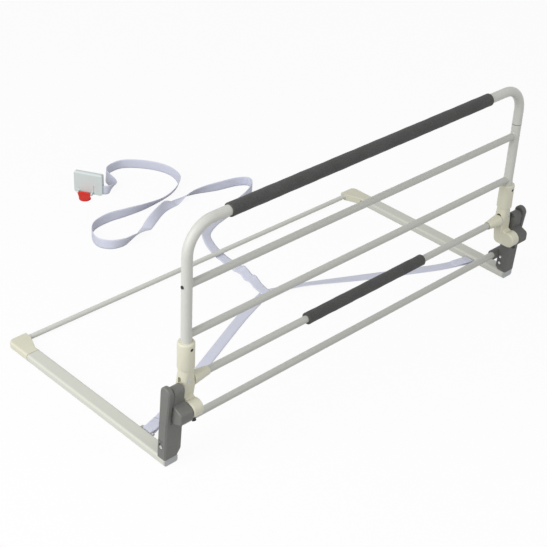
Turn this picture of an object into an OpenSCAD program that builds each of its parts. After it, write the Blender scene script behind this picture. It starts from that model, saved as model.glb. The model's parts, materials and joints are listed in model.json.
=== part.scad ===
// Bed assist rail: a fold-down fence on a base that slides under a mattress.
// Millimetres, +X along the fence, +Y back under the mattress, +Z up.
// The origin lies on the floor, in the middle of the base's width and depth.

/* [Fence] */
// Distance between the centres of the two posts
post_span = 1000; // [700:10:1300]
// Outer diameter of the hoop and post tube
post_d = 22; // [20:0.5:26]
// Wall of every round tube
tube_wall = 1.5; // [1:0.1:2.5]
// Height of the top tube's centre
top_z = 526; // [500:1:620]
// Centre-line radius of the hoop's bends
bend_r = 62; // [45:1:70]
// How far the joint between hoop and post lies below the top tube
joint_drop = 99; // [97:1:110]
// Length of the post's spigot inside the hoop
spigot_len = 26; // [15:1:27]
// How far the upper bar lies below that joint
upper_bar_drop = 26; // [18:1:50]
// Height of the lower bar
lower_bar_z = 287; // [286:1:330]
// Outer diameter of the straight bars
bar_d = 16; // [12:0.5:18]

/* [Grips] */
// Length of the long grip on the top tube
long_grip_len = 776; // [400:1:800]
// How far the long grip sits right of the middle
long_grip_shift = -10; // [-20:1:20]
// Outer diameter of the long grip
long_grip_d = 29; // [27:0.5:40]
// Length of the short grip on the release bar
short_grip_len = 370; // [150:1:500]
// How far the short grip sits right of the middle
short_grip_shift = 19; // [-40:1:40]
// Outer diameter of the short grip
short_grip_d = 26.5; // [22:0.5:36]

/* [Hinge arms] */
// How far the hinge pin lies in front of the posts
hinge_fwd = 28.5; // [25:0.5:32]
// Height of the hinge pin
hinge_z = 133; // [129:1:137]
// Radius of the hinge eye
eye_r = 18.5; // [17:0.5:20]
// Radius of the hinge pin
pin_r = 5; // [4:0.25:6]
// Outer radius of the arm's sleeve
sleeve_r = 17.8; // [16:0.1:20]
// Height of the sleeve's top
sleeve_top_z = 274; // [255:1:276]
// Height of the seam below the sleeve
seam_z = 213; // [208:1:230]
// How far the arm reaches outside the post's centre
arm_out = 16.5; // [15.5:0.5:18]
// How far the arm's neck reaches inside the post's centre
arm_in = 15; // [14:0.5:16.5]
// How far the arm's foot is set back from the neck's inner side
foot_in = 6.5; // [3:0.5:9]

/* [Release bar] */
// Height of the release bar at rest
release_z = 179; // [176:1:182]
// How far the release bar lifts
release_lift = 12; // [6:0.5:14]
// Radius of the shank that slides in the arm
shank_r = 6; // [5:0.25:7]
// Radius of the latch tip in the bracket
latch_r = 4; // [3:0.25:5]
// Length of the tapered end sleeve
end_len = 42; // [25:1:60]

/* [Base] */
// Depth from the front of the hinge to the back of the corners
base_depth = 580; // [450:5:700]
// How far the rail's centre lies outside the post's centre
rail_out = 45; // [44:0.5:50]
// Width of the flat side rail
rail_w = 34; // [30:0.5:40]
// Height of the flat side rail
rail_h = 18; // [17:0.5:24]
// Corner radius of the side rail
rail_r = 5; // [2:0.5:7]
// Wall of the side rail
rail_wall = 1.6; // [1:0.1:2.5]
// Length of the corner connector along the rail
corner_len = 75; // [60:1:110]
// How far the corner reaches inside the rail
corner_in = 14; // [8:1:40]
// Outer radius of the corner connector
corner_r = 15; // [9:1:22]
// Diameter of the rear bar
rear_bar_d = 12; // [8:0.5:13]
// Height of the cross bar
cross_z = 66; // [62:1:74]
// How far the cross bar lies behind the posts
cross_back = 16; // [14:1:20]

/* [Brackets] */
// How far the bracket reaches inside the rail's centre
bracket_in = 25.5; // [24:0.5:26.5]
// How far the bracket reaches outside the rail's centre
bracket_out = 18.5; // [17:0.5:22]
// Depth of the bracket
bracket_d = 25; // [22:0.5:28]
// Height of the bracket's top
bracket_top_z = 198; // [194:1:206]
// How far the outer cheek's top leans forward
bracket_lean = 11.5; // [6:0.5:13]
// Radius of the outer cheek's round top
cheek_top_r = 14; // [12.5:0.5:16]
// Thickness of the bracket's outer cheek
cheek_t = 13; // [10:0.5:15]
// How far the inner lobe's top lies below the cheek's
lobe_drop = 8; // [5:0.5:12]
// How far the inner lobe's top lies behind the cheek's
lobe_back = 1; // [0.5:0.5:4]
// How far the knuckle reaches in front of the hinge pin
knuckle_fwd = 17; // [15:0.5:18]

/* [Strap and buckle] */
// Width of the webbing
strap_w = 26; // [20:1:30]
// Thickness of the webbing
strap_t = 1.8; // [1.2:0.1:2.5]
// How far behind the posts the strap anchors sit
anchor_back = 93; // [60:1:200]
// Length of the buckle's body
buckle_l = 80; // [72:1:88]
// Thickness of the buckle's body
buckle_t = 14; // [12:1:18]
// Height of the buckle's body
buckle_h = 62; // [50:1:68]
// Width of the buckle's lever
lever_w = 34; // [30:1:36]

/* [Hidden] */
$fn = 64;
eps = 0.01;
// Running clearance of a pin or shank in its hole, and the gap between faces that pass
run = 0.05;
gap = 0.5;
// A sliding clearance that is wide enough for moulded parts
slide = 0.4;

post_x = post_span / 2;
post_r = post_d / 2;
bar_r = bar_d / 2;
joint_z = top_z - joint_drop;
upper_bar_z = joint_z - upper_bar_drop;
fence_y = -base_depth / 2 + eye_r + hinge_fwd;
hinge_y = fence_y - hinge_fwd;
back_y = base_depth / 2;
// The rear bar is centred in the corner's rear wall
rear_wall = 12;
rear_y = back_y - rear_wall;
rear_z = rail_h / 2;
rail_x = post_x + rail_out;
rail_front = fence_y - 7;
rail_back = back_y - corner_len;
cap_t = 3.5;
cap_plug = 18;
cross_y = fence_y + cross_back;

// The arm's two flat sides, measured from the middle of the fence
arm_x0 = post_x - arm_in;
arm_x1 = post_x + arm_out;
eye_x0 = arm_x0 + foot_in;
neck_r = arm_in;
neck_end_r = 13;
neck_end_z = release_z - 7;
heel_r = 11.5;
heel_z = hinge_z - 7;
web_z = hinge_z + 18;
web_r = 8;
web_eye_r = 11;
post_foot_z = seam_z - 6;
post_foot_t = 3;
spigot_r = post_r - tube_wall - run;
socket_r = post_r + run;

// The bracket's faces
bracket_x0 = rail_x - bracket_in;
bracket_x1 = rail_x + bracket_out;
bracket_y0 = fence_y - bracket_d / 2;
bracket_y1 = fence_y + bracket_d / 2;
cheek_x0 = bracket_x1 - cheek_t;
knuckle_x0 = arm_x1 + gap;
knuckle_x1 = cheek_x0 - 0.7;
// The cheek and the lobe part above the bracket's solid foot
foot_top_z = hinge_z - 26;
foot_corner = 10;
cheek_z = bracket_top_z - cheek_top_r;
lobe_r = bracket_d / 2;
lobe_z = bracket_top_z - lobe_drop - lobe_r;
lobe_lean = bracket_lean - lobe_back;
foot_lean = 0.4 * bracket_lean;
knuckle_r = 10;
knuckle_y = hinge_y - knuckle_fwd + knuckle_r;
// The hinge pin is blind at both ends
pin_end = 4;
pin_x0 = eye_x0 + pin_end + 0.3;
pin_x1 = knuckle_x1 - pin_end - 0.3;

// The latch tip ends in a shallow pocket in the bracket's inner face
pocket_x = bracket_x0 + 2.5;
latch_x1 = pocket_x - gap;
end_x1 = arm_x0 - gap;
end_x0 = end_x1 - end_len;
end_r0 = bar_r + 1.5;
end_r1 = 14.5;
end_socket = 30;

// The upright tab that carries the bracket
tab_t = 5;
tab_d = 13;
tab_top = 84;
bolt_r = 2.5;
bolt_z = [46, 63];
boss_r = 12;
boss_x0 = post_x + 5;
boss_depth = 22;

spring_r = 5;
spring_wire = 1.4;
spring_turns = 4;
spring_z0 = release_z + shank_r + run;
spring_z1 = post_foot_z - run;

anchor_y = fence_y + anchor_back;
anchor_len = strap_w + 12;
anchor_plate = 2;
anchor_rod_r = 2.5;
anchor_reach = 11;
anchor_h = 8;

// The tail and the buckle keep their place behind the rear bar, and their route is drawn for this depth
route_rear_y = 278;
tail_y = rear_y - route_rear_y;
// The buckle stands on its long edge at the strap's far end
buckle_at = [8, 741];
buckle_turn = -60;
buckle_corner = 7;
lever_mid = -7;
lever_hinge_z = 4;
lever_pin_r = 1.5;
lever_t = 4.5;
lever_y = -7;
lever_eye_r = 3.4;
lug_t = 4;
// The lever's round end lies a little to the right of its hinge
lever_tip = [10, -22];
lever_tip_r = 16;

// Routes of the webbing: x, y, how far it is lifted, and how far it is tipped on edge
// The legs run straight from the anchors to where the strap divides
strap_fork = [30, 88];
leg_left_way = [[0, 8.1], [0.045, 5], [0.1, 2], [0.16, 0.4], [0.3, 0.2], [0.5, 0.2], [0.7, 0.2],
    [0.85, 0.2], [1, 0.2]];
leg_right_way = [[0, 8.1], [0.045, 5], [0.1, 2], [0.16, 0.4], [0.3, 0.2], [0.5, 0.3], [0.7, 0.8],
    [0.88, 2.05], [1, 2.05]];
tail_route = [[26, 66, 3.9, 0], [32, 100, 3.9, 0], [40, 140, 2, 6], [44, 180, 5, -6], [52, 220, 1, 4],
    [58, 255, 0.2, 0], [64, 290, 0.2, 0], [76, 330, 1, 10], [100, 372, 2, 25], [150, 398, 2, 40],
    [220, 415, 1, 60], [300, 440, 0.5, 80], [352, 470, 0.2, 90], [366, 498, 0.2, 90], [340, 518, 0.2, 90],
    [280, 532, 0.2, 88], [225, 547, 0.2, 64], [190, 551, 0.5, 44], [150, 550, 0.5, 4], [120, 545, 0.5, -34],
    [85, 532, 0.2, -60], [35, 510, 0.2, -30], [-5, 490, 0.5, 10], [-35, 477, 0.5, 40], [-62, 468, 0.5, 60],
    [-95, 462, 0.2, 78], [-128, 474, 0.2, 90], [-145, 505, 0.2, 90], [-132, 545, 0.2, 90], [-100, 575, 0.2, 90],
    [-50, 588, 0.2, 85], [0, 586, 0.2, 75], [50, 580, 0.2, 72], [100, 579, 0.2, 84], [150, 588, 0.2, 108],
    [200, 607, 0.2, 120], [232, 638, 0.2, 112], [247, 682, 0.2, 96], [238, 732, 0.2, 90], [206, 777, 0.2, 90],
    [162, 804, 0.2, 90], [122, 802, 0.2, 90], [97, 778, 0.2, 90], [80, 740, 1, 90], [64, 704, 2, 90],
    [48, 684, 2.8, 90], [34, 696, 2.8, 90], [21.5, 717.6, 2.8, 90]];

function arc(cx, cy, r, a0, a1, n = 6) =
    [for (i = [0:n]) let (a = a0 + (a1 - a0) * i / n) [cx + r * cos(a), cy + r * sin(a)]];

function round_rect(w, h, r) = concat(
    arc(w / 2 - r, h / 2 - r, r, 0, 90), arc(r - w / 2, h / 2 - r, r, 90, 180),
    arc(r - w / 2, r - h / 2, r, 180, 270), arc(w / 2 - r, r - h / 2, r, 270, 360));

// A piece drawn for the right-hand side, set on the side that is asked for
module on_side(side) {
    if (side > 0) children();
    else mirror([1, 0, 0]) children();
}

// A cylinder along X
module xrod(x0, x1, y, z, r) {
    translate([x0, y, z]) rotate([0, 90, 0]) cylinder(h = x1 - x0, r = r);
}

// A cylinder along Y
module yrod(x, y0, y1, z, r) {
    translate([x, y0, z]) rotate([-90, 0, 0]) cylinder(h = y1 - y0, r = r);
}

// A disc along X with chamfered rims, for hulls
module xdisc(x0, x1, y, z, r, c = 2) {
    translate([x0, y, z]) rotate([0, 90, 0]) cylinder(h = x1 - x0, r = r - c, $fn = 32);
    translate([x0 + c, y, z]) rotate([0, 90, 0]) cylinder(h = x1 - x0 - 2 * c, r = r, $fn = 32);
}

// A block with chamfered upright edges, for hulls
module xblock(x0, x1, y0, y1, z0, z1, c = 2) {
    translate([x0, y0 + c, z0]) cube([x1 - x0, y1 - y0 - 2 * c, z1 - z0]);
    translate([x0 + c, y0, z0]) cube([x1 - x0 - 2 * c, y1 - y0, z1 - z0]);
}

// A round tube along X
module xtube(x0, x1, y, z, r) {
    difference() {
        xrod(x0, x1, y, z, r);
        xrod(x0 - 1, x1 + 1, y, z, r - tube_wall);
    }
}

// A solid flat rail of rounded section along Y
module flat_rail(x, y0, y1, w, h, r, z) {
    translate([x, y1, z]) rotate([90, 0, 0]) linear_extrude(y1 - y0) polygon(round_rect(w, h, r));
}

function mix(a, b, t) = a + (b - a) * t;

// A leg's route from its anchor's rod to the fork
function leg_route(side, way) = let (a = [side * (rail_x - rail_w / 2 - anchor_reach - 5.6), anchor_y],
    b = [strap_fork[0], strap_fork[1] + tail_y])
    [for (w = way) let (q = mix(a, b, w[0])) [q[0], q[1], w[1], 0]];

// Webbing swept along a route of [x, y, lift, tip] points, standing on the floor
function spline(p, i, t) = let (n = len(p) - 1, a = p[max(i - 1, 0)], b = p[i], c = p[min(i + 1, n)],
    d = p[min(i + 2, n)]) 0.5 * (2 * b + (c - a) * t + (2 * a - 5 * b + 4 * c - d) * t * t
    + (3 * b - a - 3 * c + d) * t * t * t);
function smooth(p, n) = concat([for (i = [0:len(p) - 2]) for (k = [0:n - 1]) spline(p, i, k / n)],
    [p[len(p) - 1]]);
function strap_z(p) = p[2] + strap_w / 2 * abs(sin(p[3])) + strap_t / 2 * abs(cos(p[3]));
function strap_ring(p, i) = let (n = len(p) - 1, d = p[min(i + 1, n)] - p[max(i - 1, 0)],
    l = norm([d[0], d[1]]), side = [-d[1] / l, d[0] / l], w = strap_w / 2, t = strap_t / 2,
    c = cos(p[i][3]), s = sin(p[i][3]))
    [for (q = [[-w, -t], [w, -t], [w, t], [-w, t]])
        [p[i][0] + side[0] * (q[0] * c - q[1] * s), p[i][1] + side[1] * (q[0] * c - q[1] * s),
         strap_z(p[i]) + q[0] * s + q[1] * c]];

module strap(route, n) {
    p = smooth(route, n);
    last = len(p) - 1;
    points = [for (i = [0:last]) each strap_ring(p, i)];
    sides = [for (i = [0:last - 1]) for (k = [0:3]) let (a = 4 * i + k, b = 4 * i + (k + 1) % 4)
        each [[a, b, b + 4], [a, b + 4, a + 4]]];
    e = 4 * last;
    ends = [[2, 1, 0], [3, 2, 0], [e, e + 1, e + 2], [e, e + 2, e + 3]];
    color("lavender") polyhedron(points, [for (f = concat(sides, ends)) [f[2], f[1], f[0]]]);
}

// The bent tube of the hoop, solid, for its outside and its bore
module hoop_solid(r, extra) {
    xrod(bend_r - post_x, post_x - bend_r, fence_y, top_z, r);
    for (side = [-1, 1]) on_side(side) {
        translate([post_x - bend_r, fence_y, top_z - bend_r]) rotate([90, 0, 0])
            rotate_extrude(angle = 90) translate([bend_r, 0]) circle(r = r);
        translate([post_x, fence_y, joint_z - extra]) cylinder(h = top_z - bend_r - joint_z + extra, r = r);
    }
}

module top_hoop() color("ivory") difference() {
    hoop_solid(post_r, 0);
    hoop_solid(post_r - tube_wall, 1);
}

module post(side) color("ivory") on_side(side) difference() {
    union() {
        translate([post_x, fence_y, post_foot_z]) cylinder(h = joint_z - post_foot_z, r = post_r);
        translate([post_x, fence_y, joint_z - 1]) cylinder(h = spigot_len + 1, r = spigot_r);
    }
    translate([post_x, fence_y, post_foot_z + post_foot_t])
        cylinder(h = joint_z - tube_wall - post_foot_z - post_foot_t, r = post_r - tube_wall);
    translate([post_x, fence_y, post_foot_z + post_foot_t])
        cylinder(h = joint_z - post_foot_z + spigot_len, r = spigot_r - tube_wall);
    xrod(post_x, post_x + 2 * post_r, fence_y, upper_bar_z, bolt_r);
    xrod(post_x + bar_seat, post_x + 2 * post_r, fence_y, upper_bar_z, bar_head_r + run);
}

// The seat and the head of the screw that holds the upper bar
bar_seat = post_r - 0.7;
bar_head_r = 3.6;

// A straight bar whose ends are notched to the posts
module fence_bar(z) color("ivory") difference() {
    xtube(-post_x, post_x, fence_y, z, bar_r);
    for (side = [-1, 1]) translate([side * post_x, fence_y, z - bar_d]) cylinder(h = 2 * bar_d, r = post_r);
}

module foam(x, len, y, z, r, bore) color("dimgray") difference() {
    xrod(x - len / 2, x + len / 2, y, z, r);
    xrod(x - len, x + len, y, z, bore);
}

// The moulded arm: a sleeve on the post, a neck, and a foot like a boot that ends in the hinge eye
module arm(side) color("wheat") on_side(side) difference() {
    union() {
        translate([post_x, fence_y, 0]) rotate_extrude()
            polygon(concat([[0, seam_z]], [[sleeve_r - 1, seam_z], [sleeve_r, seam_z + 1]],
                arc(sleeve_r - 4, sleeve_top_z - 4, 4, 0, 90), [[0, sleeve_top_z]]));
        hull() {
            translate([post_x, fence_y, seam_z - 1]) cylinder(h = 2, r = neck_r, $fn = 32);
            xdisc(arm_x0, arm_x1, fence_y, neck_end_z, neck_end_r);
        }
        hull() {
            xdisc(arm_x0, arm_x1, fence_y, neck_end_z, neck_end_r);
            xdisc(eye_x0, arm_x1, fence_y, heel_z, heel_r);
        }
        hull() {
            xdisc(eye_x0, arm_x1, fence_y, heel_z, heel_r);
            xdisc(eye_x0, arm_x1, hinge_y, hinge_z, eye_r);
        }
        hull() {
            xdisc(eye_x0, arm_x1, fence_y, web_z, web_r);
            xdisc(eye_x0, arm_x1, hinge_y, hinge_z, web_eye_r);
        }
    }
    translate([post_x, fence_y, post_foot_z]) cylinder(h = sleeve_top_z, r = socket_r);
    xrod(eye_x0 + pin_end, arm_x1 + 1, hinge_y, hinge_z, pin_r + run);
    upright_slot(arm_x0 - 20, shank_x1 + gap, shank_r + run);
    upright_slot(shank_x1, arm_x1 + 20, latch_r + slide);
    translate([post_x, fence_y, release_z])
        cylinder(h = post_foot_z - release_z + 1, r = spring_r + spring_wire + 0.6);
    sleeve_screw(run);
    neck_screw(run);
    pin_screw(run);
}

// The upright slot that the release bar's shank and tip slide in
shank_x1 = post_x + 8;
module upright_slot(x0, x1, r) {
    xrod(x0, x1, fence_y, release_z, r);
    xrod(x0, x1, fence_y, release_z + release_lift, r);
    translate([x0, fence_y - r, release_z]) cube([x1 - x0, 2 * r, release_lift]);
}

// The screw high on the sleeve's front, sunk in its hole and resting on the post
sleeve_screw_z = sleeve_top_z - 12;
module sleeve_screw(c) {
    yrod(post_x, fence_y - sleeve_r + 2.5, fence_y - post_r - 0.1, sleeve_screw_z, 2.2 + c);
    yrod(post_x, fence_y - sleeve_r - 5 * sign(c), fence_y - sleeve_r + 2.5, sleeve_screw_z, 3.6 + c);
}

module sleeve_screws() color("dimgray") for (side = [-1, 1]) on_side(side) difference() {
    sleeve_screw(0);
    yrod(post_x, fence_y - sleeve_r - 1, fence_y - sleeve_r + 1.5, sleeve_screw_z, 1.8, $fn = 6);
    translate([post_x - 5, fence_y - sleeve_r - 1, sleeve_screw_z - 5]) cube([10, 1.8, 10]);
}

// The pan-head screw low on the neck's front
neck_screw_x = post_x + 4;
neck_screw_z = release_z + 9;
neck_screw_y = fence_y - neck_end_r + 1;
module neck_screw(c) {
    yrod(neck_screw_x, neck_screw_y - 1, fence_y - spring_r - 3.5, neck_screw_z, 1.8 + c);
    yrod(neck_screw_x, neck_screw_y - 2.4 - 8 * sign(c), neck_screw_y, neck_screw_z, 3.8 + c);
}

module neck_screws() color("silver") for (side = [-1, 1]) on_side(side) difference() {
    neck_screw(0);
    for (a = [0, 90]) translate([neck_screw_x, neck_screw_y - 3, neck_screw_z]) rotate([0, a, 0])
        cube([4.8, 2.8, 1.1], center = true);
}

// The bolt under the hinge eye that clamps the pin
pin_screw_x = arm_x1 - 6;
pin_screw_turn = 156;
pin_head = 8;
module pin_screw(c) {
    translate([pin_screw_x, hinge_y, hinge_z]) rotate([pin_screw_turn, 0, 0]) {
        translate([0, 0, pin_r + 0.2]) cylinder(h = eye_r - pin_r, r = 2.5 + c);
        translate([0, 0, eye_r - 1]) cylinder(h = pin_head + 8 * sign(c), r = 4.4 + c);
    }
}

module pin_screws() color("dimgray") for (side = [-1, 1]) on_side(side) difference() {
    pin_screw(0);
    translate([pin_screw_x, hinge_y, hinge_z]) rotate([pin_screw_turn, 0, 0])
        translate([0, 0, eye_r + pin_head - 4]) cylinder(h = 5, r = 2.6, $fn = 6);
}

module bar_screws() color("dimgray") for (side = [-1, 1]) on_side(side) {
    xrod(post_x + bar_seat - 6, post_x + post_r, fence_y, upper_bar_z, bolt_r - run);
    xrod(post_x + bar_seat, post_x + post_r + 1.5, fence_y, upper_bar_z, bar_head_r);
}

module release_bar() color("ivory")
    xtube(end_socket - end_x1, end_x1 - end_socket, fence_y, release_z, bar_r);

// The tapered end of the release bar, with the shank in the arm and the latch tip in the bracket
module release_end(side) color("tan") on_side(side) difference() {
    union() {
        translate([end_x0, fence_y, release_z]) rotate([0, 90, 0])
            cylinder(h = end_len - 3, r1 = end_r0, r2 = end_r1);
        xrod(end_x1 - 3, end_x1, fence_y, release_z, end_r1);
        xrod(end_x1 - 1, shank_x1, fence_y, release_z, shank_r);
        xrod(shank_x1 - 1, latch_x1, fence_y, release_z, latch_r);
    }
    xrod(end_x0 - 1, end_x1 - end_socket, fence_y, release_z, bar_r + run);
}

// A coil spring that presses the shank down
module release_spring(side) color("silver") on_side(side) {
    steps = 14;
    n = spring_turns * steps;
    h = (spring_z1 - spring_z0 - spring_wire) / n;
    wire = spring_wire / 2;
    points = [for (i = [0:n]) for (k = [0:5])
        let (a = 360 * i / steps, b = 60 * k, r = spring_r + wire * cos(b))
        [post_x + r * cos(a), fence_y + r * sin(a), spring_z0 + wire + h * i + wire * sin(b)]];
    sides = [for (i = [0:n - 1]) for (k = [0:5]) let (a = 6 * i + k, b = 6 * i + (k + 1) % 6)
        each [[a, b, b + 6], [a, b + 6, a + 6]]];
    ends = concat([for (k = [1:4]) [0, k + 1, k]], [for (k = [1:4]) [6 * n, 6 * n + k, 6 * n + k + 1]]);
    polyhedron(points, concat(sides, ends));
}

// The bracket: a solid leaning foot, and above it an outer cheek, an inner lobe and the knuckle in front
module bracket(side) color("gray") on_side(side) difference() {
    union() {
        hull() {
            xblock(bracket_x0 + foot_corner, bracket_x1, bracket_y0, bracket_y1, rail_h, rail_h + 1, 3);
            xblock(bracket_x0, bracket_x1, bracket_y0, bracket_y1, rail_h + foot_corner + 4,
                rail_h + foot_corner + 5, 3);
            xblock(bracket_x0, bracket_x1, bracket_y0 - foot_lean, bracket_y1 - foot_lean,
                foot_top_z - 1, foot_top_z, 3);
        }
        horn(cheek_x0, bracket_x1, bracket_lean, cheek_z, cheek_top_r);
        horn(bracket_x0, cheek_x0 - 2, lobe_lean, lobe_z, lobe_r);
        hull() {
            xdisc(cheek_x0 - 5, cheek_x0 + 4, fence_y - lobe_lean, lobe_z, lobe_r - 1.4, 0.5);
            xblock(cheek_x0 - 5, cheek_x0 + 4, bracket_y0 - foot_lean + 1, bracket_y1 - foot_lean - 1,
                foot_top_z - 3, foot_top_z - 2, 0.5);
        }
        hull() {
            for (z = [3, -8]) xdisc(knuckle_x0, knuckle_x1, knuckle_y, hinge_z + z, knuckle_r, 2);
            xblock(bracket_x0 + 1, knuckle_x1 - 1, fence_y - 14, fence_y, hinge_z - 26, hinge_z + 22, 1);
        }
        xrod(boss_x0, rail_x, cross_y, cross_z, boss_r);
    }
    xrod(knuckle_x0 - 1, knuckle_x1 - pin_end, hinge_y, hinge_z, pin_r + run);
    xrod(boss_x0 - 1, boss_x0 + boss_depth, cross_y, cross_z, bar_r + run);
    latch_pocket();
    translate([rail_x - tab_t / 2 - 0.3, fence_y - tab_d / 2 - 0.3, rail_h - 1])
        cube([tab_t + 0.6, tab_d + 0.6, tab_top - rail_h + 2]);
    xrod(bracket_x0 - 1, bracket_x1 + 1, fence_y, bolt_z[0], bolt_r + run);
    xrod(bracket_x0 - 1, bolt_end_x + 0.5, fence_y, bolt_z[1], bolt_r + run);
    screw_recess();
}

// One of the bracket's two horns, from the foot up to its round top
module horn(x0, x1, lean, z, r) {
    hull() {
        xdisc(x0, x1, fence_y - lean, z, r, 2.5);
        xblock(x0 + 0.25, x1 - 0.25, bracket_y0 - foot_lean + 0.25, bracket_y1 - foot_lean - 0.25,
            foot_top_z - 2, foot_top_z - 1, 3);
    }
}

// The shallow pocket that the latch tip rests in and leaves by, clear of its whole path
module latch_pocket() {
    r = latch_r + slide;
    depth = pocket_x - bracket_x0 + eps;
    arm_len = norm([hinge_fwd, release_z - hinge_z]);
    translate([bracket_x0 - eps, fence_y - r, release_z])
        cube([depth, 2 * r, 2 * (bracket_top_z - release_z)]);
    xrod(bracket_x0 - eps, bracket_x0 - eps + depth, fence_y, release_z, r);
    difference() {
        translate([bracket_x0 - eps, fence_y - 2 * bracket_d, hinge_z])
            cube([depth, 2 * bracket_d, 2 * (bracket_top_z - hinge_z)]);
        xrod(bracket_x0 - 1, bracket_x1, hinge_y, hinge_z, arm_len - r);
    }
}

// The oval recess for the lower bolt's head, with two thin grooves above it, on the outer face
recess_r = 5.5;
recess_t = 2.5;
recess_up = 5;
bolt_end_x = bracket_x1 - 6;
module screw_recess() {
    x0 = bracket_x1 - recess_t;
    for (z = [0, recess_up]) xrod(x0, bracket_x1 + 1, fence_y, bolt_z[0] + z, recess_r);
    translate([x0, fence_y - recess_r, bolt_z[0]]) cube([recess_t + 1, 2 * recess_r, recess_up]);
    for (z = [0, 3.4]) translate([bracket_x1 - 0.9, fence_y - recess_r, bolt_z[0] + 13 + z])
        cube([2, 2 * recess_r, 1.4]);
}

module bracket_screws() color("silver") for (side = [-1, 1]) on_side(side) {
    xrod(bracket_x0 - 0.5, bracket_x1 - recess_t + 0.5, fence_y, bolt_z[0], bolt_r);
    xrod(bracket_x1 - recess_t, bracket_x1 - 0.3, fence_y, bolt_z[0], 4.4);
    xrod(bracket_x0 - 0.5, bolt_end_x, fence_y, bolt_z[1], bolt_r);
    for (z = bolt_z) xrod(bracket_x0 - 2, bracket_x0, fence_y, z, 3.6);
}

module pivot_pin(side) color("darkslategray") on_side(side)
    xrod(pin_x0, pin_x1, hinge_y, hinge_z, pin_r);

module rail(side) color("gainsboro") on_side(side) difference() {
    union() {
        flat_rail(rail_x, rail_front, rail_back, rail_w, rail_h, rail_r, rail_h / 2);
        translate([rail_x - tab_t / 2, fence_y - tab_d / 2, rail_h - 1])
            cube([tab_t, tab_d, tab_top - rail_h + 1]);
    }
    flat_rail(rail_x, rail_front - 1, rail_back + 1, rail_w - 2 * rail_wall, rail_h - 2 * rail_wall,
        rail_r - rail_wall, rail_h / 2);
    for (z = bolt_z) xrod(bracket_x0, bracket_x1, fence_y, z, bolt_r + run);
}

module rail_cap(side) color("lightgray") on_side(side) {
    flat_rail(rail_x, rail_front - cap_t, rail_front, rail_w, rail_h, rail_r, rail_h / 2);
    flat_rail(rail_x, rail_front - 1, rail_front + cap_plug, rail_w - 2 * rail_wall - 0.4,
        rail_h - 2 * rail_wall - 0.4, rail_r - rail_wall, rail_h / 2);
}

module cross_bar() color("ivory") xtube(-boss_x0 - boss_depth, boss_x0 + boss_depth, cross_y, cross_z, bar_r);

// The corner connector: a plug in the rail, a soft corner and a short arm for the rear bar's end
corner_seam = 1.2;
module corner(side) color("wheat") on_side(side) difference() {
    xi = rail_x - rail_w / 2;
    yi = rear_y - rear_wall;
    x1 = rail_x + rail_w / 2;
    y0 = rail_back + corner_seam;
    union() {
        hull() {
            flat_rail(rail_x, y0, y0 + 1, rail_w, rail_h, rail_r, rail_h / 2);
            rear_arm(xi + 5, 1);
            translate([x1 - corner_r, back_y - corner_r, 0]) rotate_extrude($fn = 32)
                polygon(concat([[0, 0]], arc(corner_r - rail_r, rail_r, rail_r, -90, 0),
                    arc(corner_r - rail_r, rail_h - rail_r, rail_r, 0, 90), [[0, rail_h]]));
        }
        rear_arm(xi - corner_in, corner_in + 5.5);
        translate([0, 0, rail_r]) linear_extrude(rail_h - 2 * rail_r) polygon(concat(
            [[xi + 1, yi + 1], [xi - corner_in / 2, yi + 1]],
            arc(xi - corner_in / 2, yi - corner_in / 2, corner_in / 2, 90, 0), [[xi + 1, yi - corner_in / 2]]));
        flat_rail(rail_x, rail_back, y0 + 1, rail_w - 2, rail_h - 2, rail_r - 1, rail_h / 2);
        flat_rail(rail_x, rail_back - 30, rail_back + 1, rail_w - 2 * rail_wall - 0.2,
            rail_h - 2 * rail_wall - 0.2, rail_r - rail_wall, rail_h / 2);
    }
    xrod(xi - corner_in - 1, rail_x, rear_y, rear_z, rear_bar_d / 2 + run);
    corner_screw(run);
}

// The corner's arm along the rear bar
module rear_arm(x0, len) {
    translate([x0, rear_y, rail_h / 2]) rotate([90, 0, 90])
        linear_extrude(len) polygon(round_rect(2 * rear_wall, rail_h, rail_r));
}

// The sunk screw on the corner's inner side
corner_screw_y = rail_back + 12;
module corner_screw(c) {
    x = rail_x - rail_w / 2 + 2;
    xrod(x - 3 * sign(c), x + 14, corner_screw_y, rail_h / 2, 2.2 + c);
    xrod(x - 1.6 - 3 * sign(c), x, corner_screw_y, rail_h / 2, 3.8 + c);
}

module corner_screws() color("dimgray") for (side = [-1, 1]) on_side(side) difference() {
    corner_screw(0);
    xrod(rail_x - rail_w / 2, rail_x - rail_w / 2 + 1.4, corner_screw_y, rail_h / 2, 1.8, $fn = 6);
}

module rear_bar() color("ivory") difference() {
    xrod(-rail_x, rail_x, rear_y, rear_z, rear_bar_d / 2);
    xrod(-rail_x - 1, rail_x + 1, rear_y, rear_z, rear_bar_d / 2 - tube_wall);
}

// The loop on the rail's inner side that the strap is sewn round
module strap_anchor(side) color("gainsboro") on_side(side) {
    x1 = rail_x - rail_w / 2;
    x0 = x1 - anchor_reach + anchor_rod_r + 0.5;
    z = rail_h / 2;
    translate([x1 - anchor_plate, anchor_y - anchor_len / 2, z - anchor_h / 2])
        cube([anchor_plate, anchor_len, anchor_h]);
    for (y = [anchor_y - anchor_len / 2, anchor_y + anchor_len / 2 - 3]) {
        yrod(x0, y, y + 3, z, anchor_rod_r + 0.7);
        translate([x0, y, z - anchor_rod_r]) cube([x1 - x0 - 1, 3, 2 * anchor_rod_r]);
    }
    yrod(x0, anchor_y - anchor_len / 2 + 2, anchor_y + anchor_len / 2 - 2, z, anchor_rod_r);
}

// Places a piece on the buckle: x along its length, y through its thickness, front at y = 0
module at_buckle() {
    translate([buckle_at[0], buckle_at[1] + tail_y, 0]) rotate([0, 0, buckle_turn])
        translate([0, -buckle_t / 2, 0]) children();
}

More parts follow.
